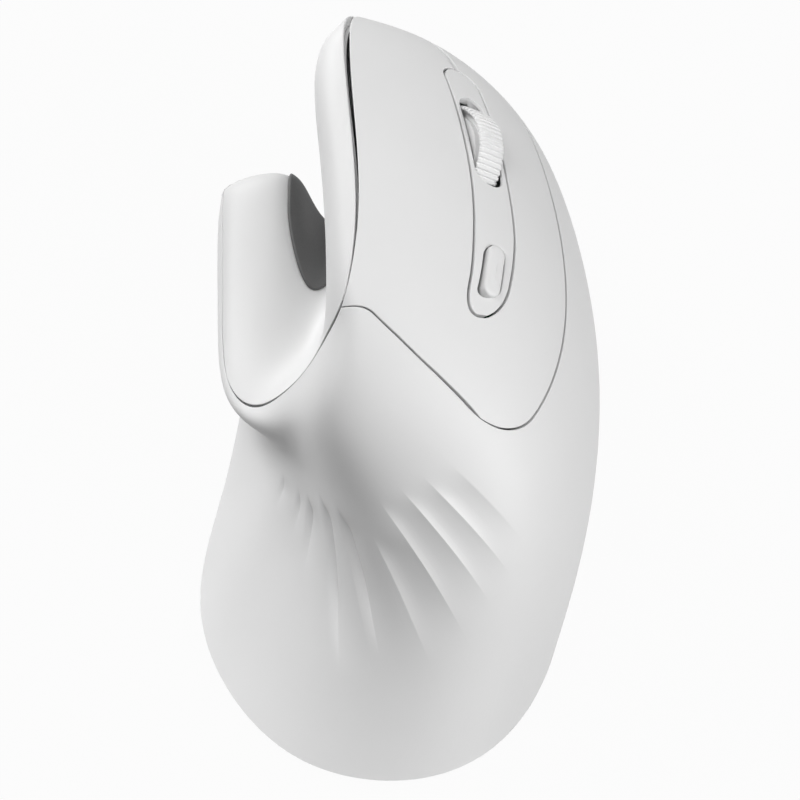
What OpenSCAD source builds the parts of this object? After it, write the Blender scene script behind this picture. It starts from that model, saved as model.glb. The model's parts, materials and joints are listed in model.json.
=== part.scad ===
/* [Body] */
// Width across the heel and the finger side
body_w = 72; // [66:1:80]
// Length from the nose to the heel
body_l = 121; // [112:1:132]
// Height of the ridge above the desk
body_h = 70; // [64:1:78]
// Wall of the moulded shells
wall = 1.8; // [1.2:0.1:2.4]
// Open seam between neighbouring panels
seam = 0.35; // [0.2:0.05:0.6]
// Height of the palm shell's lower edge above the desk
shell_lift = 1.2; // [1:0.1:2]
// Depth of the sharp creases on the palm's left
crease_depth = 1; // [0.2:0.1:1.1]
// Depth of the pleats between crests on the palm's right
pleat_depth = 0.5; // [0.2:0.1:1]
// Thickness of the soft pad in the thumb cradle
pad_t = 0.6; // [0.4:0.1:1]

/* [Base] */
// Thickness of the base plate
base_t = 2.4; // [1.8:0.1:3]
// Thickness of the glide feet
foot_t = 0.6; // [0.4:0.1:0.9]
// Bore for the case screws
screw_d = 2.2; // [1.6:0.1:3]
// Head of the case screws
screw_head_d = 4.4; // [3.6:0.1:5]
// Travel of the power slider
power_travel = 3; // [2:0.1:4]

/* [Wheel and keys] */
// Diameter of the scroll wheel over its tyre
wheel_d = 21; // [19:0.5:24]
// Width of the tyre
wheel_w = 5.4; // [4.5:0.1:6]
// How far the tyre stands out of the finger face
wheel_proud = 2.8; // [2:0.1:4]
// Thickness of the tyre
tyre_t = 2; // [1.2:0.1:3]
// Diameter of the wheel axle
axle_d = 3; // [2:0.1:4]
// Width of the inset strip
strip_w = 8; // [7.4:0.1:9.5]
// Length of the pill button
pill_l = 10.4; // [7:0.1:11]
// Width of the pill button
pill_w = 3.4; // [2.8:0.1:4]
// Gap between the keys' posts and their switches at rest
key_gap = 0.9; // [0.8:0.05:1.2]

/* [Inside] */
// Thickness of the circuit boards
board_t = 1.6; // [1:0.1:2]
// Depth of the button deck under the finger face
deck_depth = 15.5; // [14.5:0.1:17]
// Thickness of the battery cell
battery_t = 4.4; // [3:0.1:5]

/* [Hidden] */
$fn = 48;
white = "#f1f1ef";
grey = "#c9cac8";
dark = "#3a3b3d";
board_green = "#2f6b4a";
steel = "#b9bcc0";

// The rails are drawn at this size, with y counted from a little behind the middle
drawn = [72, 121, 70];
drawn_mid_y = 1.85;
function sized(p) =
  [p.x * body_w / drawn.x, (p.y - drawn_mid_y) * body_l / drawn.y, p.z * body_h / drawn.z];
function on_foot(p) = [sized(p).x, sized(p).y, shell_lift];

// Ribs of the outer skin, from the thumb seam down to the foot, and from the wing's nose round the heel
rib_points = [
  [[-33.3, 54.5, 20], [-34, 54.5, 15], [-32, 52.5, 10], [-30.5, 51.5, 7], [-28.5, 50.5, 3], [-27, 49.5, 0]],
  [[-33, 49, 23], [-34.7, 49, 18], [-33.5, 48, 11], [-31, 47, 7], [-29, 46, 3], [-28, 45, 0]],
  [[-32.6, 28, 22], [-34, 28, 18], [-32.5, 27, 12], [-29.5, 26, 8], [-28.5, 25, 4], [-28.5, 25, 0]],
  [[-31.9, 8, 25.5], [-33.9, 3.5, 24], [-24, 4.5, 17], [-27, 2, 10], [-30.3, 1.5, 2.5], [-31.8, 2, 0]],
  [[-26.5, 0, 28], [-24.5, -6, 29.5], [-18.5, -5, 22], [-23, -9, 15], [-33.4, -15, 5], [-36.8, -17, 0]],
  [[-21, 0.5, 33], [-19.5, -6.5, 36], [-16, -9.5, 25.5], [-17, -15.5, 16], [-29, -28, 5], [-35.5, -34.6, 0]],
  [[-16, 0, 42.5], [-17.5, -13, 45], [-13, -17, 34], [-10.5, -27, 18], [-15.5, -48, 6], [-19.5, -58.5, 0]],
  [[-12, -1, 56], [-14.5, -17, 57], [-7.5, -26.5, 46], [3, -39, 29], [8, -53.5, 12.5], [10.7, -61, 0]],
  [[-9.5, -2, 65.5], [-3.5, -8.5, 64], [10, -19, 57], [24.5, -29.5, 41], [31, -35.5, 17], [28.2, -40.3, 0]],
  [[-6.6, 14, 68.5], [4, 11, 67], [20, 5, 59], [33, -1, 41], [38.5, -3, 20], [32, -6, 0]],
  [[-8.6, 36, 70], [5, 34.5, 66.5], [20, 31, 57.5], [33, 27, 41], [37.5, 24, 20], [32, 22, 0]],
  [[-10.5, 58, 68.5], [4, 59.5, 62], [17, 58, 52], [27.5, 55, 37], [32, 51, 17], [29, 49, 0]],
  [[-8.3, 61, 64.5], [3, 62.5, 58], [14, 61, 48], [22.5, 58, 34], [27, 54, 16], [25, 51.5, 0]]
];
foot_rail = len(rib_points[0]) - 1;
ribs = [for (rib = rib_points) [for (k = [0:foot_rail]) k < foot_rail ? sized(rib[k]) : on_foot(rib[k])]];

// Sections of the thumb panel between the wing's seam and the ridge's seam, from the nose to the saddle
thumb_points = [
  [[-31.6, 54.4, 23.4], [-24.5, 56, 25], [-18.6, 55.5, 24], [-16.4, 54.5, 13], [-9, 54.5, 4],
   [-2.5, 56, 15], [-4, 58, 39], [-11.5, 59.3, 54.2], [-9.8, 60.3, 60.5]],
  [[-32, 51, 26], [-24.5, 52, 29.2], [-18.6, 51.5, 28.8], [-16.4, 51, 14], [-9, 51, 5],
   [-5, 52, 16], [-7, 54.5, 40], [-15, 55.2, 59.6], [-11.9, 56.3, 65.8]],
  [[-32, 45, 26.5], [-24.5, 45, 29.4], [-18.6, 45, 29], [-16.4, 44, 14], [-10, 44, 6],
   [-6, 45, 17], [-7.5, 46, 40], [-17.2, 47, 60.5], [-14.2, 47, 68.5]],
  [[-31.8, 32, 26], [-25, 32, 28.4], [-19, 32, 28.2], [-16, 31, 26], [-12.5, 31, 25],
   [-9.5, 32, 28], [-9, 32, 42], [-15.3, 32, 60], [-12.6, 32, 68]],
  [[-31, 17, 26], [-27, 16, 28], [-21, 16, 27.5], [-17.5, 16, 26.5], [-15, 15, 27],
   [-12.5, 15, 33], [-12, 14, 45], [-13.7, 13, 59], [-11.5, 13, 66.5]]
];

// Smooth curve that follows its control points and meets the first and the last
function blend(f) =
  [pow(1 - f, 3), 3 * pow(f, 3) - 6 * f * f + 4, -3 * pow(f, 3) + 3 * f * f + 3 * f + 1, pow(f, 3)] / 6;
function held(p, i) =
  i < 0 ? 2 * p[0] - p[1] :
  i > len(p) - 1 ? 2 * p[len(p) - 1] - p[len(p) - 2] : p[i];
function curve(p, t) =
  let (n = len(p) - 1, u = min(max(t, 0), 1) * n, i = min(floor(u), n - 1), w = blend(u - i))
  w[0] * held(p, i - 1) + w[1] * held(p, i) + w[2] * held(p, i + 1) + w[3] * held(p, i + 2);
function ease(x) = let (k = min(max(x, 0), 1)) k * k * (3 - 2 * k);
function unit(v) = v / norm(v);

// Outer skin: a runs round the ribs, b runs down a rib
function skin(a, b) = curve([for (rib = ribs) curve(rib, b)], a);
function skin_out(a, b, h = 0.004) =
  unit(cross(skin(a, b + (b < 1 - h ? h : 0)) - skin(a, b - (b > h ? h : 0)),
             skin(a + (a < 1 - h ? h : 0), b) - skin(a - (a > h ? h : 0), b)));

// The thumb seam is the upper edge of the outer skin
seam_points = [for (rib = ribs) rib[0]];
function thumb_seam(a) = curve(seam_points, a);
wing_end = 3 / 12;
ridge_end = 8 / 12;
saddle_share = ridge_end - wing_end;
thumb_rows = len(thumb_points);
thumb_cols = len(thumb_points[0]) + 1;
thumb_net = [
  for (k = [0:thumb_rows])
    let (t = k / thumb_rows)
    concat([thumb_seam(wing_end * t)],
      k < thumb_rows
        ? [for (p = thumb_points[k]) sized(p)]
        : [for (c = [1:thumb_cols - 1]) thumb_seam(wing_end + saddle_share * c / thumb_cols)],
      [thumb_seam(1 - (1 - ridge_end) * t)])
];
// Thumb skin: t runs from the nose to the saddle, s from the wing over the trough to the ridge
function thumb_loft(t, s) = curve([for (row = thumb_net) curve(row, s)], t);
function wing_miss(t) = thumb_seam(wing_end * t) - thumb_loft(t, 0);
function ridge_miss(t) = thumb_seam(1 - (1 - ridge_end) * t) - thumb_loft(t, 1);
function saddle_miss(s) = thumb_seam(wing_end + saddle_share * s) - curve(thumb_net[thumb_rows], s);
function thumb(t, s) =
  thumb_loft(t, s) + (1 - s) * wing_miss(t) + s * ridge_miss(t) + pow(t, 3) * saddle_miss(s);
function thumb_out(t, s, h = 0.004) =
  unit(cross(thumb(t + (t < 1 - h ? h : 0), s) - thumb(t - (t > h ? h : 0), s),
             thumb(t, s + (s < 1 - h ? h : 0)) - thumb(t, s - (s > h ? h : 0))));

// Places on the outer skin where the button plate, its hinge line and the strip lie
plate_a = 0.676;
hinge_a = 0.722;
strip_low_a = 0.728;
strip_top_a = 0.911;
wheel_a = 0.851;
pill_a = 0.759;
function strip_mid(a) = 0.366 - 2.6 * pow(a - 0.745, 2);
function end_round(x) = sqrt(max(0, 1 - pow(max(0, 1 - x), 2)));
plate_round = 0.086;
function plate_edge(a) =
  0.558 - 2.4 * pow(a - 0.79, 2) - 1.6 * pow(max(0, 0.79 - a), 2)
  - plate_round * (1 - end_round((a - plate_a) / 0.03));
// Shares of a and b that measure one millimetre on the finger face
a_mm = 0.02 / norm(skin(wheel_a + 0.01, strip_mid(wheel_a)) - skin(wheel_a - 0.01, strip_mid(wheel_a)));
b_mm = 0.02 / norm(skin(wheel_a, strip_mid(wheel_a) + 0.01) - skin(wheel_a, strip_mid(wheel_a) - 0.01));
a_seam = seam * a_mm;
hinge_gap_a = 1.1 * a_seam;
b_seam = seam * b_mm;
strip_front = strip_w / 2;
strip_rear = 0.875 * strip_w;
// The strip narrows behind the wheel to a long round end
function strip_half(a, grow = 0) =
  let (more = grow * a_mm)
  (strip_w / 2 * (1 - 0.15 * ease((0.79 - a) / 0.05)) + grow) * b_mm
  * end_round((a - strip_low_a + more) / (strip_rear * a_mm + more))
  * end_round((strip_top_a - a + more) / (strip_front * a_mm + more));
// The seams of the keys open towards their tips, which swing most
function key_share(a) = (a - hinge_a) / (1 - hinge_a);
function key_start(a) = palm_start_b + 3.5 * b_seam * key_share(a);
function key_half(a) = max(strip_half(a, 1.4 * seam), b_seam * (1 + key_share(a)));
function key_edge(a) = plate_edge(a) - b_seam * (0.5 + 2.2 * key_share(a));
function eased(from, to, count) = [for (i = [0:count]) from + (to - from) * (1 - cos(180 * i / count)) / 2];

// Folds that fan out from the saddle over the palm, as places at mid length. Creases: the sharp low
// line, the width of the rise behind it, and the shares of b where it starts and ends
creases = [
  [0.355, 0.047, 0.49, 0.6], [0.407, 0.03, 0.49, 0.61], [0.438, 0.044, 0.48, 0.66],
  [0.486, 0.036, 0.45, 0.76], [0.526, 0.036, 0.45, 0.72]
];
crease_fall = 0.012;
// Pleats: the sharp crests on both sides of a round trough, and the same shares of b
pleats = [
  [0.563, 0.592, 0.49, 0.74], [0.592, 0.615, 0.44, 0.7], [0.615, 0.634, 0.44, 0.69],
  [0.634, 0.652, 0.45, 0.66]
];
trough = 0.4;
fold_mid_b = 0.57;
function fold_reach(f, b) = ease((b - f[2]) / 0.06) * ease((f[3] - b) / 0.14);
function crease(f, a) = pow(max(0, 1 - (a < f[0] ? (f[0] - a) / crease_fall : (a - f[0]) / f[1])), 2);
function pleat(f, a) =
  let (x = (a - f[0]) / (f[1] - f[0]) - trough) max(0, 1 - pow(x / (x < 0 ? trough : 1 - trough), 2));
function flute(a, b) =
  max(concat([for (f = creases) crease_depth * crease(f, a) * fold_reach(f, b)],
             [for (f = pleats) pleat_depth * pleat(f, a) * fold_reach(f, b)]));
// The grid leans with the folds, hooks towards the thumb seam behind the plate, and stands square
// across the strip
function lean(a, b) =
  (0.085 + 0.55 * max(0, 0.58 - a)) * (b - fold_mid_b) * ease((a - 0.3) / 0.06)
  * ease((plate_a - a) / 0.03) * ease(b / 0.3) * ease((1 - b) / 0.25);
function hook(a, b) =
  0.034 * pow(max(0, 1 - b / 0.14), 2) * ease((a - 0.6) / 0.06) * ease((hinge_a - a) / 0.045);
function skew(a, b) =
  let (d = b - strip_mid(a))
  (0.07 + 0.13 * ease((0.83 - a) / 0.07)) * d * ease((0.13 - abs(d)) / 0.09) * ease((a - 0.67) / 0.055)
  * ease((1 - a) / 0.06);
function bent(a, b) = a + lean(a, b) - hook(a, b) + skew(a, b);

// A frame of axes standing on the strip's middle line: across, along and out
function strip_point(a) = skin(a, strip_mid(a));
function along_at(a, n) =
  let (d = strip_point(a + 0.01) - strip_point(a - 0.01)) unit(d - (d * n) * n);
function axes_at(a) =
  let (n = skin_out(a, strip_mid(a)), l = along_at(a, n)) [cross(l, n), l, n, strip_point(a)];
module stand(f)
  multmatrix([
    [f[0].x, f[1].x, f[2].x, f[3].x], [f[0].y, f[1].y, f[2].y, f[3].y],
    [f[0].z, f[1].z, f[2].z, f[3].z], [0, 0, 0, 1]])
    children();
deck = axes_at(wheel_a);
pill = axes_at(pill_a);
function in_deck(p) = let (d = p - deck[3]) [d * deck[0], d * deck[1], d * deck[2]];

// Derived sizes
base_z = foot_t;
base_top = base_z + base_t;
wheel_r = wheel_d / 2;
wheel_n = -(wheel_r - wheel_proud);
wheel_gap = 0.45;
axle_fit = 0.05;
slot_w = wheel_w + 2 * wheel_gap;
face_dip = 1.6;
slot_l = 2 * sqrt(wheel_r * wheel_r - pow(wheel_r - wheel_proud - wall - face_dip, 2)) + 2 * wheel_gap;
board_n = -deck_depth + board_t;
press_travel = 0.5;
pill_travel = 0.4;
side_travel = 0.5;
rest_gap = 0.3;
arm_t = 1.4;
arm_in = wheel_w / 2 + 0.6;
arm_out = arm_in + arm_t;
switch_size = [5.8, 12.8, 6.5];
switch_nub = 0.6;
tact_size = [6, 6, 3.2];
stem_r = 1.6;
key_post_r = 1.4;
key_post_l = -9;
key_post_t = 9.2;

// A closed shell from two equal grids of points; keep marks the cells that belong to it
function kept(keep, i, j) = i >= 0 && j >= 0 && i < len(keep) && j < len(keep[0]) && keep[i][j];
function side_wall(u, v, n) = [[u, v, n + v], [u, n + v, n + u]];
module slab(outer, inner, keep) {
  rows = len(outer) - 1;
  cols = len(outer[0]) - 1;
  w = cols + 1;
  n = (rows + 1) * w;
  faces = [
    for (i = [0:rows - 1], j = [0:cols - 1])
      if (keep[i][j])
        let (p = i * w + j, q = p + w)
        each concat(
          [[p, q + 1, p + 1], [p, q, q + 1], [n + p, n + p + 1, n + q + 1], [n + p, n + q + 1, n + q]],
          kept(keep, i - 1, j) ? [] : side_wall(p, p + 1, n),
          kept(keep, i, j + 1) ? [] : side_wall(p + 1, q + 1, n),
          kept(keep, i + 1, j) ? [] : side_wall(q + 1, q, n),
          kept(keep, i, j - 1) ? [] : side_wall(q, p, n))
  ];
  polyhedron(concat([for (r = outer) each r], [for (r = inner) each r]), faces, convexity = 8);
}
// At the thumb seam both walls lean along the bisector of the two skins
function near(x) = min(max(x, 0.01), 0.99);
function thumb_place(a) =
  a <= wing_end ? [a / wing_end, 0] :
  a >= ridge_end ? [(1 - a) / (1 - ridge_end), 1] : [1, (a - wing_end) / saddle_share];
function seam_out(a) =
  let (q = thumb_place(a)) unit(skin_out(a, near(0)) + thumb_out(near(q.x), near(q.y)));
function all_cells(grid) = [for (i = [0:len(grid) - 2]) [for (j = [0:len(grid[0]) - 2]) true]];
function steps(from, to, count) = [for (i = [0:count - 1]) from + (to - from) * i / count];
// A panel of the outer skin over a grid of [a, b] places
module skin_panel(places) {
  outer = [for (row = places) [for (q = row) skin(q.x, q.y)]];
  inner = [
    for (row = places)
      [for (q = row) skin(q.x, q.y) - wall * (q.y < seam_b ? seam_out(q.x) : skin_out(q.x, q.y))]
  ];
  slab(outer, inner, all_cells(outer));
}
function strip_of_places(a_list, low, high, count) =
  [for (a = a_list)
    [for (j = [0:count]) let (b = low(a) + (high(a) - low(a)) * j / count) [bent(a, b), b]]];

// Palm shell: the whole outer skin apart from the button plate
cover_rows = 8;
fold_a = concat(
  [for (f = creases) each [f[0] - crease_fall, f[0], f[0] + f[1] / 2]],
  [for (f = pleats) each [for (u = [0, trough / 2, trough, 0.7]) f[0] + (f[1] - f[0]) * u]],
  [pleats[len(pleats) - 1][1]]);
function crowded(from, to, i) = from + (to - from) * pow(i / cover_rows, 2);
palm_a = concat(steps(0, fold_a[0], 16), fold_a,
  [for (i = [0:cover_rows - 1]) crowded(plate_a, hinge_a, i)], steps(hinge_a, 1, 13), [1]);
palm_plate_rows = 14;
palm_low_rows = 14;
palm_start_b = 0.005;
seam_b = 0.03;
function palm_b(a, j) =
  let (edge = plate_edge(max(a, plate_a)) + b_seam / 2)
  j <= palm_plate_rows
    ? palm_start_b + (edge - palm_start_b) * j / palm_plate_rows
    : edge + (1 - edge) * (j - palm_plate_rows) / palm_low_rows;
// The inner wall turns level towards the foot, so that the shell stands on a flat rim
function palm_in(a, b) =
  b < seam_b ? seam_out(a) : let (n = skin_out(a, b)) unit([n.x, n.y, n.z * (1 - pow(b, 5))]);
module palm_shell() {
  places = [
    for (a = palm_a)
      [for (j = [0:palm_plate_rows + palm_low_rows])
        let (b = palm_b(a, j)) [bent(a, b), b, a]]
  ];
  outer = [
    for (row = places)
      [for (q = row) skin(q.x, q.y) - flute(q.z, q.y) * skin_out(q.x, q.y)]
  ];
  inner = [for (row = places) [for (q = row) skin(q.x, q.y) - wall * palm_in(q.x, q.y)]];
  keep = [
    for (i = [0:len(places) - 2])
      [for (j = [0:palm_plate_rows + palm_low_rows - 1]) places[i][0].z < plate_a || j >= palm_plate_rows]
  ];
  color(white) slab(outer, inner, keep);
}

// Button plate: a fixed root and two keys that bend at the hinge line
strip_rows = 22;
tip_a = 0.0008;
nose_rows = 5;
module button_cover() {
  a_from = plate_a + 1.3 * a_seam;
  a_to = hinge_a - hinge_gap_a;
  a_list = [for (i = [0:cover_rows]) crowded(a_from, a_to, i)];
  color(white)
    skin_panel(strip_of_places(a_list, function(a) palm_start_b, function(a) plate_edge(a) - b_seam / 2,
      palm_plate_rows));
}
module key_panel(low, high, count) {
  a_list = concat([hinge_a + hinge_gap_a], eased(strip_low_a - a_seam, strip_top_a + a_seam, strip_rows),
    [for (i = [1:nose_rows]) strip_top_a + a_seam + (1 - strip_top_a - a_seam) * i / nose_rows]);
  skin_panel(strip_of_places(a_list, low, high, count));
}
module key_post(t)
  stand(deck)
    translate([t, key_post_l, board_n + switch_size.z + switch_nub + key_gap])
      cylinder(h = -wall * 1.2 - (board_n + switch_size.z + switch_nub + key_gap), r = key_post_r);
module left_button() {
  color(white) {
    key_panel(function(a) key_start(a), function(a) strip_mid(a) - key_half(a), 7);
    key_post(-key_post_t);
  }
}
module right_button() {
  color(white) {
    key_panel(function(a) strip_mid(a) + key_half(a), function(a) key_edge(a), 5);
    key_post(key_post_t);
  }
}

// Strip with the wheel's slot and the pill button's hole
module stadium(w, l) {
  square([w, l - w], center = true);
  for (s = [-1, 1])
    translate([0, s * (l - w) / 2])
      circle(d = w);
}
module wheel_strip() {
  a_list = eased(strip_low_a + tip_a, strip_top_a - tip_a, strip_rows);
  color(white)
    difference() {
      skin_panel(strip_of_places(a_list, function(a) strip_mid(a) - strip_half(a),
        function(a) strip_mid(a) + strip_half(a), 4));
      stand(deck)
        translate([0, 0, -4 * wall])
          linear_extrude(8 * wall)
            stadium(slot_w, slot_l);
      stand(pill)
        translate([0, 0, -4 * wall])
          linear_extrude(8 * wall)
            stadium(pill_w + 2 * rest_gap, pill_l + 2 * rest_gap);
    }
}

// Front panels fill the openings between the shells' front rims, down to the base
nose_bow = 2;
key_swing = 0.8;
nose_top = 0.14;
nose_low = 0.94;
nose_floor_s = 0.457;
rim_step = 0.01;
function thumb_rim(s, depth, gap) =
  thumb(0, s) - depth * thumb_out(0, s) + gap * unit(thumb(0, s) - thumb(rim_step, s));
function skin_rim(a, b, depth, gap) =
  skin(a, b) - depth * skin_out(a, b) + gap * unit(skin(a, b) - skin(abs(a - rim_step), b));
function to_base(p) = [p.x, p.y, shell_lift + seam];
function front_column(left, right, w_list, x, bow, depth) =
  let (column = [
    for (w = w_list)
      left(w, depth) * (1 - x) + right(w, depth) * x + [0, bow * w * 4 * x * (1 - x), 0]
  ])
  concat(column, [to_base(column[len(column) - 1])]);
function front_grid(left, right, w_list, cols, bow, depth) =
  [for (k = [0:cols]) front_column(left, right, w_list, k / cols, bow, depth)];
module front_slab(left, right, w_list, cols, bow) {
  outer = front_grid(left, right, w_list, cols, bow, 0);
  slab(outer, front_grid(left, right, w_list, cols, bow, wall), all_cells(outer));
}
module nose_panel() {
  w_list = [for (i = [0:16]) nose_top + (nose_low - nose_top) * i / 16];
  color(white)
    difference() {
      front_slab(function(w, depth) thumb_rim(1 - (1 - nose_floor_s) * w, depth, seam),
        function(w, depth) skin_rim(1, w, depth, w < plate_edge(1) ? seam + key_swing : seam),
        w_list, 6, nose_bow);
      socket_place()
        translate([0, 0, socket_size.z / 2])
          rotate([-90, 0, 0])
            linear_extrude(4 * socket_size.y)
              rotate(90)
                stadium(socket_size.z + 2 * rest_gap, socket_size.x + 2 * rest_gap);
    }
}
wing_crest_s = 0.24;
wing_floor_s = 0.476;
wing_low = 0.85;
wing_split = 0.35;
function wing_left(w, depth) =
  w < wing_split
    ? thumb_rim(wing_crest_s * (1 - w / wing_split), depth, seam)
    : skin_rim(0, wing_low * (w - wing_split) / (1 - wing_split), depth, seam);
module wing_cap() {
  w_list = [for (i = [1:16]) i / 16];
  color(white)
    front_slab(function(w, depth) wing_left(w, depth),
      function(w, depth) thumb_rim(wing_crest_s + (wing_floor_s - wing_crest_s) * w, depth, seam),
      w_list, 4, nose_bow / 2);
}

// Thumb panel with two windows for the thumb buttons
side_low = 0.635;
side_high = 0.667;
thumb_s = concat([for (i = [0:18]) i / 30], [side_low, (side_low + side_high) / 2, side_high],
  [for (i = [21:30]) i / 30]);
side_first = 19;
side_last = 20;
thumb_t = [for (j = [0:22]) j / 22];
forward_from = 8;
forward_to = 11;
back_from = 11;
back_to = 15;
s_seam = 0.006;
t_seam = 0.006;
function in_side(i, j) = i >= side_first && i <= side_last && j >= forward_from && j < back_to;
function thumb_in(t, s) =
  s <= s_seam ? seam_out(wing_end * t) :
  s >= 1 - s_seam ? seam_out(1 - (1 - ridge_end) * t) :
  t >= 1 - t_seam ? seam_out(wing_end + saddle_share * s) : thumb_out(t, s);
module thumb_panel() {
  places = [for (s = thumb_s) [for (t = thumb_t) [min(t, 1 - t_seam), min(max(s, s_seam), 1 - s_seam)]]];
  outer = [for (row = places) [for (q = row) thumb(q.x, q.y)]];
  inner = [for (row = places) [for (q = row) thumb(q.x, q.y) - wall * thumb_in(q.x, q.y)]];
  keep = [for (i = [0:len(places) - 2]) [for (j = [0:len(thumb_t) - 2]) !in_side(i, j)]];
  color(white) slab(outer, inner, keep);
}
side_proud = 0.8;
side_depth = 2.4;
module side_button(from, to) {
  t_low = thumb_t[from] + t_seam * (from == forward_from ? 1 : 0.5);
  t_high = thumb_t[to] - t_seam * (to == back_to ? 1 : 0.5);
  places = [
    for (i = [0:4])
      let (s = side_low + 0.0016 + (side_high - side_low - 0.0032) * i / 4)
      [for (j = [0:6]) [t_low + (t_high - t_low) * j / 6, s]]
  ];
  outer = [for (row = places) [for (q = row) thumb(q.x, q.y) + side_proud * thumb_out(q.x, q.y)]];
  inner = [for (row = places) [for (q = row) thumb(q.x, q.y) - side_depth * thumb_out(q.x, q.y)]];
  color(grey) slab(outer, inner, all_cells(outer));
}
module forward_button() side_button(forward_from, forward_to);
module back_button() side_button(back_from, back_to);

// Soft pad glued into the thumb cradle: cells of the panel's own grid inside an upright oval
pad_glue = 0.06;
pad_first = 7;
pad_last = 17;
pad_cells = 14;
pad_oval = [6.5 * body_w / drawn.x, 18 * body_l / drawn.y];
pad_at = sized([-14.3, 46.6, 0]);
module thumb_pad() {
  places = [for (i = [pad_first:pad_last]) [for (j = [0:pad_cells]) [thumb_t[j], thumb_s[i]]]];
  outer = [for (row = places) [for (q = row) thumb(q.x, q.y) + (pad_glue + pad_t) * thumb_out(q.x, q.y)]];
  inner = [for (row = places) [for (q = row) thumb(q.x, q.y) + pad_glue * thumb_out(q.x, q.y)]];
  color(dark)
    intersection() {
      slab(outer, inner, all_cells(outer));
      translate([pad_at.x, pad_at.y, 0])
        linear_extrude(body_h)
          scale([pad_oval.x, pad_oval.y])
            circle(1);
    }
}

// Base plate: a flange under the palm shell's rim and a raised plate inside it
flange_in = 1;
plate_in = 8.5;
outline_a = [for (i = [0:70]) i / 70];
foot_line = [for (a = outline_a) let (p = skin(a, 1)) [p.x, p.y]];
front_line = [[9, 53.5, 0], [-9, 53.5, 0]];
spine_ys = [-25 * body_l / drawn.y, 34 * body_l / drawn.y];
function inset(p, d) = [
  for (q = p)
    let (c = [0, min(max(q.y, spine_ys[0]), spine_ys[1])])
    q + d * (c - q) / norm(c - q)
];
base_line = concat(foot_line, [for (p = front_line) [sized(p).x, sized(p).y]]);
sensor_at = [8 * body_w / drawn.x, -12 * body_l / drawn.y];
power_at = [-14 * body_w / drawn.x, 16 * body_l / drawn.y];
rib_ys = [14 * body_l / drawn.y, 38 * body_l / drawn.y];
boss_off = 3.4;
screw_places = [
  for (x = [4, 20] * body_w / drawn.x, y = [rib_ys[0] + boss_off, rib_ys[1] - boss_off]) [x, y]
];
power_slot_w = 3.4;
lens_r = 3.2;
head_h = 1.5;
head_cover = 0.2;
module base_plate() {
  color(grey)
    difference() {
      union() {
        translate([0, 0, base_z])
          linear_extrude(shell_lift - base_z)
            polygon(inset(base_line, flange_in));
        translate([0, 0, base_z])
          linear_extrude(base_t)
            polygon(inset(base_line, plate_in));
        for (p = board_posts)
          translate([p.x, p.y, base_z])
            cylinder(h = board_z - base_z, r = 2.4);
        socket_place()
          translate([-socket_size.x / 2, 0, base_top - socket_z - 0.5])
            cube([socket_size.x, socket_size.y - 1, socket_z - base_top + 0.5]);
      }
      translate([sensor_at.x, sensor_at.y, 0])
        cylinder(h = 10, r = lens_r + rest_gap);
      translate([power_at.x, power_at.y, 0])
        linear_extrude(10)
          stadium(power_slot_w, power_slot_w + 2 + power_travel);
      for (p = screw_places)
        translate([p.x, p.y, 0]) {
          cylinder(h = 10, d = screw_d + 0.2);
          cylinder(h = base_z + head_h + head_cover, d = screw_head_d + 0.4);
        }
      for (p = board_posts)
        translate([p.x, p.y, base_top])
          cylinder(h = 10, d = board_screw_d);
    }
}
module foot_pad(p, w, l, turn)
  translate([p.x * body_w / drawn.x, p.y * body_l / drawn.y, 0])
    rotate(turn)
      linear_extrude(foot_t)
        stadium(w, l);
module front_foot() color(dark) foot_pad([3, 46], 6, 22, 90);
module rear_foot() color(dark) foot_pad([-3, -49], 6, 26, 90);
module thumb_foot() color(dark) foot_pad([-23, -22], 5, 20, -20);

// Wheel set, carried in the deck's frame with the axle across
module across_axle()
  stand(deck)
    translate([0, 0, wheel_n])
      rotate([0, 90, 0])
        children();
hub_r = wheel_r - tyre_t;
hub_w = wheel_w - 0.4;
rib_count = 64;
module wheel_tyre() {
  rib_r = 0.35;
  color(grey)
    across_axle()
      difference() {
        rotate_extrude($fn = 96)
          polygon([[hub_r, -hub_w / 2], [wheel_r - 0.7, -wheel_w / 2], [wheel_r, -wheel_w / 2 + 0.9],
                   [wheel_r, wheel_w / 2 - 0.9], [wheel_r - 0.7, wheel_w / 2], [hub_r, hub_w / 2]]);
        for (i = [0:rib_count - 1])
          rotate(360 * i / rib_count)
            translate([wheel_r + 0.1, 0, -wheel_w])
              cylinder(h = 2 * wheel_w, r = rib_r, $fn = 16);
      }
}
module scroll_wheel() {
  color(grey)
    across_axle()
      difference() {
        translate([0, 0, -hub_w / 2])
          cylinder(h = hub_w, r = hub_r);
        translate([0, 0, -hub_w])
          cylinder(h = 2 * hub_w, d = axle_d);
        for (side = [-1, 1])
          translate([0, 0, side * hub_w * 0.7 - hub_w * 0.3])
            linear_extrude(hub_w * 0.6)
              difference() {
                circle(r = hub_r - 1.6);
                circle(r = axle_d / 2 + 1.6);
              }
      }
}
axle_left = arm_out + 0.6;
axle_right = arm_out + 2.6;
module wheel_axle()
  color(steel)
    across_axle()
      translate([0, 0, -axle_left])
        cylinder(h = axle_left + axle_right, d = axle_d);
bridge_from = wheel_r + 1;
bridge_to = bridge_from + 3;
bridge_n = board_n + tact_size.z + switch_nub + rest_gap + press_travel;
arm_low = board_n + 0.9;
arm_top = wheel_n + 2.6;
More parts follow.
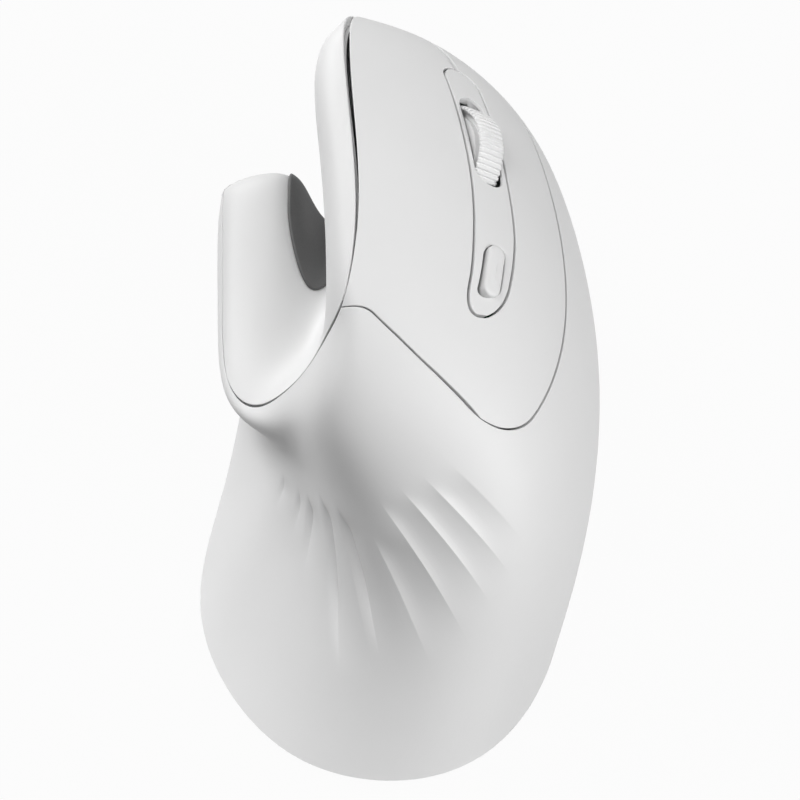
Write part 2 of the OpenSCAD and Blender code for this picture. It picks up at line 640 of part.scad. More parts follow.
module wheel_carrier() {
  color(dark)
    stand(deck)
      difference() {
        union() {
          for (side = [-1, 1])
            translate([side * (arm_in + arm_out) / 2 - arm_t / 2, -bridge_to, arm_low])
              cube([arm_t, bridge_to + 3.4, arm_top - arm_low]);
          translate([-arm_out, -bridge_to, bridge_n])
            cube([2 * arm_out, bridge_to - bridge_from, arm_top - bridge_n]);
        }
        translate([-30, 0, wheel_n])
          rotate([0, 90, 0])
            cylinder(h = 60, d = axle_d + 2 * axle_fit);
      }
}
encoder_w = 3.4;
encoder_l = 9;
module wheel_encoder() {
  color(grey)
    stand(deck)
      difference() {
        translate([arm_out, -encoder_l / 2, arm_low])
          cube([encoder_w, encoder_l, arm_top - arm_low]);
        translate([arm_out - 1, 0, wheel_n])
          rotate([0, 90, 0])
            cylinder(h = encoder_w + 2, d = axle_d + 2 * axle_fit);
      }
}

// Pill button with a flange under the strip and a stem to its switch
pill_proud = 0.7;
pill_flange_n = -wall - 1.2;
pill_deck = in_deck(pill[3]);
pill_rest = 2 * rest_gap + pill_travel;
pill_drop = (pill_deck.z - board_n - tact_size.z - switch_nub - pill_rest) / (pill[2] * deck[2]);
pill_foot = in_deck(pill[3] - pill_drop * pill[2]);
module pill_button() {
  color(grey)
    stand(pill)
      union() {
        translate([0, 0, pill_flange_n])
          linear_extrude(pill_proud - pill_flange_n)
            stadium(pill_w, pill_l);
        translate([0, 0, pill_flange_n - 0.8])
          linear_extrude(0.9)
            stadium(pill_w + 1.6, pill_l + 1.6);
        translate([0, 0, -pill_drop])
          cylinder(h = pill_drop + pill_flange_n - 0.4, r = 1.2);
      }
}

// Button deck, its board and the switches that stand on it
deck_left = -12;
deck_right = 13;
deck_back = -40;
deck_front = 13;
deck_t = 2;
module deck_plate(n, t, edge)
  stand(deck)
    difference() {
      translate([deck_left + edge, deck_back + edge, n])
        cube([deck_right - deck_left - 2 * edge, deck_front - deck_back - 2 * edge, t]);
      translate([-arm_in, -wheel_r - 0.4, n - 1])
        cube([2 * arm_in, 2 * wheel_r + 0.8, t + 2]);
      for (p = deck_screws)
        translate([p.x, p.y, n - 1])
          cylinder(h = t + 2, d = board_screw_d);
    }
board_screw_d = 1.8;
deck_screws = [[-9, -36], [9, -36]];
module button_board() color(board_green) deck_plate(-deck_depth, board_t, 0.6);
module key_switch(t)
  stand(deck)
    color(dark)
      union() {
        translate([t - switch_size.x / 2, key_post_l - 9, board_n])
          cube(switch_size);
        translate([t - 0.8, key_post_l - 1.4, board_n + switch_size.z - 0.5])
          cube([1.6, 2.8, switch_nub + 0.5]);
      }
module left_switch() key_switch(-key_post_t);
module right_switch() key_switch(key_post_t);
module tact_switch(size) {
  translate([-size.x / 2, -size.y / 2, 0])
    cube(size);
  cylinder(h = size.z + switch_nub, r = stem_r);
}
module middle_switch()
  color(dark)
    stand(deck)
      translate([0, -(bridge_from + bridge_to) / 2 - 1.4, board_n])
        tact_switch(tact_size);
module pill_switch()
  color(dark)
    stand(deck)
      translate([pill_foot.x, pill_foot.y, board_n])
        tact_switch(tact_size);

// Inner frame: the deck, two ribs that stand on the base, and the side board's wall
rib_t = 2.2;
boss_r = 3;
boss_h = 6;
cross_h = 8;
rib_left = 8 * body_w / drawn.x;
rib_right = 25 * body_w / drawn.x;
function deck_z(x, y) =
  let (lean = deck[2].x * (x - deck[3].x) + deck[2].y * (y - deck[3].y))
  deck[3].z - (deck_depth + deck_t / 2 + lean) / deck[2].z;
side_wall_x = 0.6;
side_wall_t = 1.8;
side_at = [for (j = [(forward_from + forward_to) / 2, (back_from + back_to) / 2])
  thumb(j / 22, (side_low + side_high) / 2)];
side_way = [for (j = [(forward_from + forward_to) / 2, (back_from + back_to) / 2])
  thumb_out(j / 22, (side_low + side_high) / 2)];
side_board_z = (side_at[0].z + side_at[1].z) / 2;
side_board_h = 12;
side_wall_ys = [side_at[1].y - 7, side_at[0].y + 7];
module inner_frame() {
  color(grey)
    union() {
      deck_plate(-deck_depth - deck_t, deck_t, 0);
      for (y = rib_ys)
        translate([0, y + rib_t / 2, 0])
          rotate([90, 0, 0])
            linear_extrude(rib_t)
              polygon([[rib_left, base_top], [rib_right, base_top], [rib_right, deck_z(rib_right, y)],
                       [rib_left, deck_z(rib_left, y)]]);
      translate([side_wall_x, side_wall_ys[0], base_top])
        cube([side_wall_t, side_wall_ys[1] - side_wall_ys[0], side_board_z + side_board_h / 2 - base_top]);
      for (y = rib_ys)
        translate([side_wall_x, y - rib_t / 2, base_top])
          cube([rib_left - side_wall_x + 1, rib_t, cross_h]);
      for (p = screw_places)
        translate([p.x, p.y, base_top])
          difference() {
            cylinder(h = boss_h, r = boss_r);
            translate([0, 0, -1])
              cylinder(h = boss_h, d = screw_d + 2 * axle_fit);
          }
    }
}
side_board_t = 1;
module side_board()
  color(board_green)
    translate([side_wall_x - side_board_t, side_wall_ys[0], side_board_z - side_board_h / 2])
      cube([side_board_t, side_wall_ys[1] - side_wall_ys[0], side_board_h]);
module side_switch(k) {
  gap = side_wall_x - side_board_t - side_at[k].x - side_depth - 0.4;
  color(dark)
    translate([side_wall_x - side_board_t, side_at[k].y, side_at[k].z])
      rotate([0, -90, 0])
        tact_switch([6, 6, gap - switch_nub - side_travel - rest_gap]);
}
module forward_switch() side_switch(0);
module back_switch() side_switch(1);

// Main board on posts of the base, with the sensor over its lens
board_z = base_top + 3;
main_size = [26, 42];
main_corner = [-3 * body_w / drawn.x, -37 * body_l / drawn.y];
board_posts = [
  for (x = [3, main_size.x - 3], y = [3, main_size.y - 3]) [main_corner.x + x, main_corner.y + y]
];
module main_board() {
  color(board_green)
    translate([0, 0, board_z])
      difference() {
        translate([main_corner.x, main_corner.y, 0])
          cube([main_size.x, main_size.y, board_t]);
        translate([sensor_at.x, sensor_at.y, -1])
          cylinder(h = board_t + 2, r = 2);
        for (p = board_posts)
          translate([p.x, p.y, -1])
            cylinder(h = board_t + 2, d = board_screw_d);
      }
}
module optical_sensor()
  color(dark)
    translate([sensor_at.x - 5, sensor_at.y - 4, board_z + board_t])
      cube([10, 8, 2.4]);
module sensor_lens()
  color("#d7dde2")
    translate([sensor_at.x, sensor_at.y, 0])
      union() {
        translate([-7, -5, base_top])
          cube([14, 10, board_z - base_top]);
        translate([0, 0, base_z + 0.6])
          cylinder(h = base_top - base_z, r = lens_r);
      }
battery_size = [14, 26, battery_t];
module battery_cell()
  color(steel)
    translate([-17.6 * body_w / drawn.x, -32 * body_l / drawn.y, base_top])
      cube(battery_size);

// Charging socket on a pad of the base, just behind the nose
socket_size = [9, 7.4, 3.2];
socket_z = base_top + 3.2;
socket_back = 9.5;
module socket_place()
  translate([10 * body_w / drawn.x, thumb(0, 0.5).y - socket_back, socket_z])
    children();
module charging_socket() {
  color(steel)
    socket_place()
      difference() {
        translate([0, 0, socket_size.z / 2])
          rotate([-90, 0, 0])
            linear_extrude(socket_size.y)
              rotate(90)
                stadium(socket_size.z, socket_size.x);
        translate([0, 1, socket_size.z / 2])
          rotate([-90, 0, 0])
            linear_extrude(socket_size.y)
              rotate(90)
                stadium(socket_size.z - 0.7, socket_size.x - 0.7);
      }
}

// Power slider: a plate on the base with a nub down through the slot
module power_slider()
  color(dark)
    translate([power_at.x, power_at.y - power_travel / 2, 0])
      union() {
        translate([-3.4, -4.2, base_top + 0.15])
          cube([6.8, 8.4, 1.2]);
        translate([0, 0, base_z + 0.3])
          linear_extrude(base_top - base_z + 0.2)
            stadium(power_slot_w - 0.4, power_slot_w + 1.6);
      }

// Screws
module case_screws()
  color(steel)
    for (p = screw_places)
      translate([p.x, p.y, 0])
        union() {
          translate([0, 0, base_z + head_cover])
            cylinder(h = head_h, d = screw_head_d);
          translate([0, 0, base_z + head_cover])
            cylinder(h = base_t + 2, d = screw_d);
        }
module board_screw() {
  cylinder(h = 1, d = 3.4);
  translate([0, 0, -3])
    cylinder(h = 3.5, d = board_screw_d);
}
module board_screws()
  color(steel) {
    for (p = board_posts)
      translate([p.x, p.y, board_z + board_t])
        board_screw();
    for (p = deck_screws)
      stand(deck)
        translate([p.x, p.y, board_n])
          board_screw();
  }

palm_shell();
thumb_panel();
button_cover();
left_button();
right_button();
wheel_strip();
nose_panel();
wing_cap();
base_plate();
front_foot();
rear_foot();
thumb_foot();
scroll_wheel();
wheel_tyre();
wheel_axle();
wheel_carrier();
wheel_encoder();
pill_button();
forward_button();
back_button();
thumb_pad();
inner_frame();
button_board();
left_switch();
right_switch();
middle_switch();
pill_switch();
side_board();
forward_switch();
back_switch();
main_board();
optical_sensor();
sensor_lens();
battery_cell();
charging_socket();
power_slider();
case_screws();
board_screws();
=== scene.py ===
"""A white vertical mouse: moulded skins, wheel, keys and light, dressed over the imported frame."""
import json
import math
import bmesh
import bpy
import numpy as np
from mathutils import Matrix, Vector


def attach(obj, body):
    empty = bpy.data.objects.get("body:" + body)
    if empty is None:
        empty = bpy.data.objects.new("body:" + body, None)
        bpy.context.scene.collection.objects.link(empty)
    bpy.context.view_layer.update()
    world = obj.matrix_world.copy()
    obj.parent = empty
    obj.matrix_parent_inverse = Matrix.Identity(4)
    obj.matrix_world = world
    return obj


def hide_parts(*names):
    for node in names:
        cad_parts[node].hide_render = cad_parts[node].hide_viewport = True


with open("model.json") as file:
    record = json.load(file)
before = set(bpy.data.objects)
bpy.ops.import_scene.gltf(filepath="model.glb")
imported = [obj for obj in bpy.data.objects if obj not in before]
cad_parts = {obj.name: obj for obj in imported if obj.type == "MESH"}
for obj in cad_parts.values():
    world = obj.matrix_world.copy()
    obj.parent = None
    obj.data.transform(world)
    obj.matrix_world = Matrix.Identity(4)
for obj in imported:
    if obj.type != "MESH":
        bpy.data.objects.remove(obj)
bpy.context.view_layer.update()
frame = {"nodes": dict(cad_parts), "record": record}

# One millimetre in metres
MM = 0.001
# Sizes in millimetres, as the solids have them
WALL = 1.8
SEAM = 0.35
SHELL_LIFT = 1.2
MID_Y = 1.85
CREASE_DEPTH = 1.0
PLEAT_DEPTH = 0.5
STRIP_W = 8.0
STRIP_REAR = 7.0
WHEEL_D = 21.0
WHEEL_W = 5.4
WHEEL_PROUD = 2.8
TYRE_T = 2.0
PILL_L = 10.4
PILL_W = 3.4
PAD_T = 0.6
PAD_GLUE = 0.06
STRIP_GAP = 1.4 * SEAM
SLOT_GAP = 0.45
SLOT_DIP = 1.6
SIDE_PROUD = 0.8
SIDE_DEPTH = 2.4
# Sizes in millimetres of what is drawn here only: rounded edges, black bar of painted shade in the thumb seam,
# thin lip, tread grooves
EDGE_R = 0.16
SIDE_EDGE_R = 0.7
PAD_EDGE_R = 0.3
SHADE_BAR_R = 0.42
SHADE_BAR_DEPTH = 0.6
LIP = 0.6
LIP_RUN = 1.2
GROOVE_DEPTH = 0.4

# Ribs of the outer skin from the thumb seam to the foot, from the wing's nose round the heel to the nose
RIBS = [
    [[-33.3, 54.5, 20], [-34, 54.5, 15], [-32, 52.5, 10], [-30.5, 51.5, 7], [-28.5, 50.5, 3], [-27, 49.5, 0]],
    [[-33, 49, 23], [-34.7, 49, 18], [-33.5, 48, 11], [-31, 47, 7], [-29, 46, 3], [-28, 45, 0]],
    [[-32.6, 28, 22], [-34, 28, 18], [-32.5, 27, 12], [-29.5, 26, 8], [-28.5, 25, 4], [-28.5, 25, 0]],
    [[-31.9, 8, 25.5], [-33.9, 3.5, 24], [-24, 4.5, 17], [-27, 2, 10], [-30.3, 1.5, 2.5], [-31.8, 2, 0]],
    [[-26.5, 0, 28], [-24.5, -6, 29.5], [-18.5, -5, 22], [-23, -9, 15], [-33.4, -15, 5], [-36.8, -17, 0]],
    [[-21, 0.5, 33], [-19.5, -6.5, 36], [-16, -9.5, 25.5], [-17, -15.5, 16], [-29, -28, 5], [-35.5, -34.6, 0]],
    [[-16, 0, 42.5], [-17.5, -13, 45], [-13, -17, 34], [-10.5, -27, 18], [-15.5, -48, 6], [-19.5, -58.5, 0]],
    [[-12, -1, 56], [-14.5, -17, 57], [-7.5, -26.5, 46], [3, -39, 29], [8, -53.5, 12.5], [10.7, -61, 0]],
    [[-9.5, -2, 65.5], [-3.5, -8.5, 64], [10, -19, 57], [24.5, -29.5, 41], [31, -35.5, 17], [28.2, -40.3, 0]],
    [[-6.6, 14, 68.5], [4, 11, 67], [20, 5, 59], [33, -1, 41], [38.5, -3, 20], [32, -6, 0]],
    [[-8.6, 36, 70], [5, 34.5, 66.5], [20, 31, 57.5], [33, 27, 41], [37.5, 24, 20], [32, 22, 0]],
    [[-10.5, 58, 68.5], [4, 59.5, 62], [17, 58, 52], [27.5, 55, 37], [32, 51, 17], [29, 49, 0]],
    [[-8.3, 61, 64.5], [3, 62.5, 58], [14, 61, 48], [22.5, 58, 34], [27, 54, 16], [25, 51.5, 0]],
]
# Sections of the thumb panel between the wing's seam and the ridge's seam, from the nose to the saddle
THUMB_SECTIONS = [
    [[-31.6, 54.4, 23.4], [-24.5, 56, 25], [-18.6, 55.5, 24], [-16.4, 54.5, 13], [-9, 54.5, 4],
     [-2.5, 56, 15], [-4, 58, 39], [-11.5, 59.3, 54.2], [-9.8, 60.3, 60.5]],
    [[-32, 51, 26], [-24.5, 52, 29.2], [-18.6, 51.5, 28.8], [-16.4, 51, 14], [-9, 51, 5],
     [-5, 52, 16], [-7, 54.5, 40], [-15, 55.2, 59.6], [-11.9, 56.3, 65.8]],
    [[-32, 45, 26.5], [-24.5, 45, 29.4], [-18.6, 45, 29], [-16.4, 44, 14], [-10, 44, 6],
     [-6, 45, 17], [-7.5, 46, 40], [-17.2, 47, 60.5], [-14.2, 47, 68.5]],
    [[-31.8, 32, 26], [-25, 32, 28.4], [-19, 32, 28.2], [-16, 31, 26], [-12.5, 31, 25],
     [-9.5, 32, 28], [-9, 32, 42], [-15.3, 32, 60], [-12.6, 32, 68]],
    [[-31, 17, 26], [-27, 16, 28], [-21, 16, 27.5], [-17.5, 16, 26.5], [-15, 15, 27],
     [-12.5, 15, 33], [-12, 14, 45], [-13.7, 13, 59], [-11.5, 13, 66.5]],
]


def unit(v):
    """Each vector divided by its own length."""
    return v / np.linalg.norm(v, axis=-1, keepdims=True)


def ease(x):
    """Smooth step: 3k² - 2k³ of x held between 0 and 1."""
    k = np.clip(x, 0, 1)
    return k * k * (3 - 2 * k)


def spline_weights(t, count):
    """Weights of count control points at each t from 0 to 1: a uniform cubic B-spline whose end
    points are mirrored outwards, so that the curve meets the first and the last point."""
    t = np.clip(np.asarray(t, float).ravel(), 0, 1)
    u = t * (count - 1)
    i = np.minimum(u.astype(int), count - 2)
    f = u - i
    parts = np.stack([(1 - f) ** 3, 3 * f**3 - 6 * f**2 + 4,
                      -3 * f**3 + 3 * f**2 + 3 * f + 1, f**3], 1) / 6
    w = np.zeros((t.size, count + 2))
    np.put_along_axis(w, i[:, None] + np.arange(4), parts, 1)
    ends = np.zeros((count + 2, count))
    ends[1:-1] = np.eye(count)
    ends[0, :2] = 2, -1
    ends[-1, -2:] = -1, 2
    return w @ ends


def on_net(net, u, v):
    """Point of the spline surface over a net of control points at each pair u, v."""
    u, v = np.broadcast_arrays(np.asarray(u, float), np.asarray(v, float))
    rows = (spline_weights(u, net.shape[0]) @ net.reshape(net.shape[0], -1)).reshape(-1, net.shape[1], 3)
    return np.einsum("kj,kjc->kc", spline_weights(v, net.shape[1]), rows).reshape(u.shape + (3,))


ribs = np.array(RIBS, float) - [0, MID_Y, 0]
ribs[:, -1, 2] = SHELL_LIFT
sections = np.array(THUMB_SECTIONS, float) - [0, MID_Y, 0]
# Places round the ribs where the wing's seam ends and the ridge's seam begins, with the saddle between
WING_END = 3 / 12
RIDGE_END = 8 / 12
SADDLE = RIDGE_END - WING_END


def skin(a, b):
    """Outer skin in mm: a runs round the ribs, b runs down a rib."""
    return on_net(ribs, a, b)


def thumb_seam(a):
    """The upper edge of the outer skin, where the thumb panel meets it."""
    a = np.asarray(a, float)
    return (spline_weights(a, len(ribs)) @ ribs[:, 0]).reshape(a.shape + (3,))


def thumb_control():
    """Net of the thumb skin: its sections with the seam's points at both ends and along the saddle."""
    steps = len(sections)
    cols = sections.shape[1] + 1
    t = np.arange(steps + 1) / steps
    saddle = thumb_seam(WING_END + SADDLE * np.arange(1, cols) / cols)
    inner = np.concatenate([sections, saddle[None]])
    return np.concatenate([thumb_seam(WING_END * t)[:, None], inner,
                           thumb_seam(1 - (1 - RIDGE_END) * t)[:, None]], 1)


thumb_net = thumb_control()


def thumb(t, s):
    """Thumb skin in mm: t runs from the nose to the saddle, s from the wing over the trough to the
    ridge. The spline surface is shifted so that its three borders lie exactly on the seam."""
    t, s = np.broadcast_arrays(np.asarray(t, float), np.asarray(s, float))
    wing = thumb_seam(WING_END * t) - on_net(thumb_net, t, 0 * s)
    ridge = thumb_seam(1 - (1 - RIDGE_END) * t) - on_net(thumb_net, t, 0 * s + 1)
    saddle = thumb_seam(WING_END + SADDLE * s) - on_net(thumb_net, 0 * t + 1, s)
    s1, t1 = s[..., None], t[..., None]
    return on_net(thumb_net, t, s) + (1 - s1) * wing + s1 * ridge + t1**3 * saddle


def slopes(surface, u, v, h=0.002):
    """Change of the surface per unit u and per unit v, by differences that stay inside 0 to 1."""
    u, v = np.broadcast_arrays(np.asarray(u, float), np.asarray(v, float))
    u0, u1 = np.maximum(u - h, 0), np.minimum(u + h, 1)
    v0, v1 = np.maximum(v - h, 0), np.minimum(v + h, 1)
    return ((surface(u1, v) - surface(u0, v)) / (u1 - u0)[..., None],
            (surface(u, v1) - surface(u, v0)) / (v1 - v0)[..., None])


def on_skin(a, b):
    """Millimetres per unit a and per unit b on the outer skin, and its outward normal."""
    da, db = slopes(skin, a, b)
    return np.linalg.norm(da, axis=-1), np.linalg.norm(db, axis=-1), unit(np.cross(db, da))


def on_thumb(t, s):
    """Millimetres per unit t and per unit s on the thumb skin, and its outward normal."""
    dt, ds = slopes(thumb, t, s)
    return np.linalg.norm(dt, axis=-1), np.linalg.norm(ds, axis=-1), unit(np.cross(dt, ds))


def seam_out(a):
    """Bisector of the two skins at the thumb seam: both walls lean along it there."""
    a = np.asarray(a, float)
    inset = 0.01
    t = np.where(a <= WING_END, a / WING_END, np.where(a >= RIDGE_END, (1 - a) / (1 - RIDGE_END), 1))
    t = np.clip(t, inset, 1 - inset)
    s = np.clip((a - WING_END) / SADDLE, inset, 1 - inset)
    return unit(on_skin(a, inset + 0 * a)[2] + on_thumb(t, s)[2])


# Places on the outer skin where the button plate, its hinge line and the strip lie
PLATE_A = 0.676
HINGE_A = 0.722
STRIP_LOW_A = 0.728
STRIP_TOP_A = 0.911
WHEEL_A = 0.851
PILL_A = 0.759
PALM_B = 0.005
# Depth in b of the plate's round rear corner, and the place in b where the folds' lean turns
PLATE_ROUND = 0.086
FOLD_MID_B = 0.57
# Share of b beside the thumb seam where the walls lean along the seam's bisector
LEAN_B = 0.03


def strip_mid(a):
    """Middle line of the strip: a shallow parabola in a."""
    return 0.366 - 2.6 * (a - 0.745) ** 2


def round_end(x):
    """Quarter circle that rises from 0 at x = 0 to 1 at x = 1."""
    return np.sqrt(np.maximum(0, 1 - np.maximum(0, 1 - x) ** 2))


def plate_edge(a):
    """Lower seam of the button plate: two parabolas, and a quarter ellipse at its rear corner."""
    return (0.558 - 2.4 * (a - 0.79) ** 2 - 1.6 * np.maximum(0, 0.79 - a) ** 2
            - PLATE_ROUND * (1 - round_end((a - PLATE_A) / 0.03)))


def bent(a, b):
    """Place on the skin of a grid point: the grid leans with the folds, hooks towards the thumb seam
    behind the plate, and stands square across the strip."""
    lean = ((0.085 + 0.55 * np.maximum(0, 0.58 - a)) * (b - FOLD_MID_B) * ease((a - 0.3) / 0.06)
            * ease((PLATE_A - a) / 0.03) * ease(b / 0.3) * ease((1 - b) / 0.25))
    hook = (0.034 * np.maximum(0, 1 - b / 0.14) ** 2
            * ease((a - 0.6) / 0.06) * ease((HINGE_A - a) / 0.045))
    d = b - strip_mid(a)
    skew = ((0.07 + 0.13 * ease((0.83 - a) / 0.07)) * d * ease((0.13 - np.abs(d)) / 0.09)
            * ease((a - 0.67) / 0.055) * ease((1 - a) / 0.06))
    return a + lean - hook + skew


# One millimetre at the wheel as a share of a and of b
wheel_slopes = slopes(skin, np.array(WHEEL_A), np.array(strip_mid(WHEEL_A)), 0.01)
A_MM = 1 / np.linalg.norm(wheel_slopes[0])
B_MM = 1 / np.linalg.norm(wheel_slopes[1])


def strip_half(a, grow=0.0):
    """Half of the strip's width as a share of b, grown all round by grow mm: it narrows a little
    behind the wheel, and has a round front end and a longer, elliptic rear end."""
    more = grow * A_MM
    front = STRIP_W / 2 * A_MM + more
    rear = STRIP_REAR * A_MM + more
    width = STRIP_W / 2 * (1 - 0.15 * ease((0.79 - a) / 0.05)) + grow
    return (width * B_MM * round_end((a - STRIP_LOW_A + more) / rear)
            * round_end((STRIP_TOP_A - a + more) / front))


def edge_drop(d, r=EDGE_R):
    """Depth of a rounded edge at distance d from it: a quarter circle of radius r."""
    k = r - np.clip(d, 0, r)
    return r - np.sqrt(np.maximum(r * r - k * k, 0))


# Distances in millimetres from a rounded edge at which a grid has lines
EDGE_STEPS = np.array([0, 0.012, 0.05, 0.11, 0.19, 0.3, 0.5])


def graded(low, high, count, low_mm=0.0, high_mm=0.0):
    """Values from low to high, with extra ones that crowd to an end whose size of one mm is given."""
    first = low + EDGE_STEPS * low_mm if low_mm else np.array([low])
    last = high - EDGE_STEPS[::-1] * high_mm if high_mm else np.array([high])
    return np.concatenate([first[:-1], np.linspace(first[-1], last[0], count), last[1:]])


def bunched(count):
    """Values from 0 to 1 that crowd at both ends, as a half turn of a circle seen from the side."""
    return (1 - np.cos(np.linspace(0, math.pi, count))) / 2


def slab(outer, inner, keep=None):
    """Closed shell between two equal grids of points: quads on both, and walls round the kept cells."""
    rows, cols = outer.shape[0] - 1, outer.shape[1] - 1
    keep = np.ones((rows, cols), bool) if keep is None else keep
    n = (rows + 1) * (cols + 1)
    at = np.arange(n).reshape(rows + 1, cols + 1)
    p, p1, q, q1 = at[:-1, :-1], at[:-1, 1:], at[1:, :-1], at[1:, 1:]
    full = np.pad(keep, 1)
    quads = [np.stack([p, p1, q1, q], -1)[keep], np.stack([p, q, q1, p1], -1)[keep] + n]
    for u, v, beside in [(p, p1, full[:-2, 1:-1]), (p1, q1, full[1:-1, 2:]),
                         (q1, q, full[2:, 1:-1]), (q, p, full[1:-1, :-2])]:
        quads.append(np.stack([u, u + n, v + n, v], -1)[keep & ~beside])
    quads = np.concatenate(quads)
    points = np.concatenate([outer.reshape(-1, 3), inner.reshape(-1, 3)])
    used, quads = np.unique(quads, return_inverse=True)
    return points[used], quads.reshape(-1, 4)


def dress(name, mesh, material, body, nodes, sharp):
    """Makes a piece of a mesh, shaded smooth but for edges above an angle in degrees, and places it."""
    mesh.polygons.foreach_set("use_smooth", np.ones(len(mesh.polygons), bool))
    mesh.set_sharp_from_angle(angle=math.radians(sharp))
    mesh.materials.clear()
    mesh.materials.append(material)
    piece = bpy.data.objects.new(name, mesh)
    bpy.context.collection.objects.link(piece)
    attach(piece, body)
    if nodes:
        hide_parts(*nodes)


def put(name, points, quads, material, body, slot, *nodes, sharp=50):
    """Makes a piece from points in mm and quads."""
    mesh = bpy.data.meshes.new(name)
    mesh.vertices.add(len(points))
    mesh.vertices.foreach_set("co", (points * MM).astype(np.float32).ravel())
    mesh.loops.add(quads.size)
    mesh.loops.foreach_set("vertex_index", quads.astype(np.int32).ravel())
    mesh.polygons.add(len(quads))
    mesh.polygons.foreach_set("loop_start", np.arange(0, quads.size, 4, dtype=np.int32))
    mesh.update(calc_edges=True)
    mesh.validate()
    dress(name, mesh, material, body, nodes, sharp)


def linear(code):
    """sRGB hex colour as linear red, green, blue and alpha."""
    c = np.array([int(code[i:i + 2], 16) for i in (1, 3, 5)]) / 255
    return (*np.where(c <= 0.04045, c / 12.92, ((c + 0.055) / 1.055) ** 2.4), 1.0)


def add(tree, kind, inputs=(), **settings):
    """Adds a node; inputs maps a socket's name or number to a value or to another node's output."""
    n = tree.nodes.new(kind)
    for key, value in settings.items():
        setattr(n, key, value)
    for key, value in dict(inputs).items():
        if isinstance(value, bpy.types.NodeSocket):
            tree.links.new(value, n.inputs[key])
        else:
            n.inputs[key].default_value = value
    return n


# How far the grain takes the roughness either way
SHEEN_SPREAD = 0.04


def moulded(name, light, dark, roughness, grain_mm, grain_depth_mm, cloud_mm=14.0, **sockets):
    """Moulded plastic: a faint cloud between two close colours, and a spark-eroded grain as bump."""
    m = bpy.data.materials.new(name)
    m.use_nodes = True
    t = m.node_tree
    t.nodes.clear()
    place = add(t, "ShaderNodeTexCoord").outputs["Object"]
    cloud = add(t, "ShaderNodeTexNoise", {"Vector": place, "Scale": 1 / (cloud_mm * MM), "Detail": 3.0})
    tone = add(t, "ShaderNodeMix", {0: cloud.outputs["Fac"], 6: linear(dark), 7: linear(light)},
               data_type="RGBA")
    grain = add(t, "ShaderNodeTexNoise", {"Vector": place, "Scale": 1 / (grain_mm * MM), "Detail": 2.0})
    bump = add(t, "ShaderNodeBump", {"Height": grain.outputs["Fac"], "Distance": grain_depth_mm * MM,
                                     "Strength": 1.0})
    sheen = add(t, "ShaderNodeMapRange", {"Value": grain.outputs["Fac"], "From Min": 0.3, "From Max": 0.7,
                                          "To Min": roughness - SHEEN_SPREAD,
                                          "To Max": roughness + SHEEN_SPREAD})
    shader = add(t, "ShaderNodeBsdfPrincipled", {"Base Color": tone.outputs[2], "Normal": bump.outputs[0],
                                                 "Roughness": sheen.outputs[0], **sockets})
    add(t, "ShaderNodeOutputMaterial", {"Surface": shader.outputs[0]})
    return m


# ABS, moulded in a spark-eroded tool: a soft, nearly shineless white
white_abs = moulded("white_abs_moulded", "#dfdfdf", "#dbdbdb", 0.5, 0.45, 0.006)
# Silicone rubber, moulded: the same white, a little greyer and drier
white_rubber = moulded("white_silicone_tyre", "#e6e6e6", "#dfdfdf", 0.62, 0.4, 0.008)
# ABS of the base, moulded: a cool light grey
grey_abs = moulded("grey_abs_moulded", "#b9bab9", "#b0b1b0", 0.55, 0.5, 0.008)
# Polyoxymethylene of the moving inner pieces: black and slightly waxy
black_pom = moulded("black_pom_moulded", "#26272a", "#1f2022", 0.42, 0.5, 0.004)
# Mid grey, dry finish of the patch that darkens the floor of the thumb notch
notch_patch_grey = moulded("notch_patch_grey_matte", "#5c5c5c", "#565656", 0.72, 0.4, 0.006)
# PTFE glide pad: dark, smooth, low sheen
ptfe_pad = moulded("dark_ptfe_pad", "#2c2c2e", "#252527", 0.35, 0.8, 0.002)
# Glass-fibre board under solder mask: green lacquer over a faint weave
green_board = moulded("solder_mask_board", "#2c6a48", "#265c3f", 0.3, 0.7, 0.004)
# Plain steel of the axle, screws and socket shell: drawn and left bare
plain_steel = moulded("drawn_steel", "#c2c4c7", "#b4b7ba", 0.3, 0.3, 0.002, Metallic=1.0)
# Cell pouch: foil wrap with a dull sheen
foil_wrap = moulded("foil_cell_wrap", "#b3b6ba", "#a6a9ad", 0.4, 0.6, 0.004, Metallic=0.9)
# Polycarbonate of the sensor lens: clear and polished
clear_lens = moulded("clear_polycarbonate", "#eef2f5", "#e8edf1", 0.08, 1.0, 0.0005,
                     **{"Transmission Weight": 0.9, "IOR": 1.585})

# Folds that fan out from the saddle over the palm, as places at mid length. Creases on the valley's
# left: the sharp low line, the width of the rise behind it, and the shares of b where it starts and ends
CREASES = np.array([[0.355, 0.047, 0.49, 0.6], [0.407, 0.03, 0.49, 0.61], [0.438, 0.044, 0.48, 0.66],
                    [0.486, 0.036, 0.45, 0.76], [0.526, 0.036, 0.45, 0.72]])
CREASE_FALL = 0.012
# Pleats on its right: the sharp crests on both sides of a round trough, and the same shares of b
PLEATS = np.array([[0.563, 0.592, 0.49, 0.74], [0.592, 0.615, 0.44, 0.7], [0.615, 0.634, 0.44, 0.69],
                   [0.634, 0.652, 0.45, 0.66]])
# Where a pleat's trough lies between its crests, and the lengths along b over which folds ease in and out
TROUGH = 0.4
FOLD_IN = 0.06
FOLD_OUT = 0.14


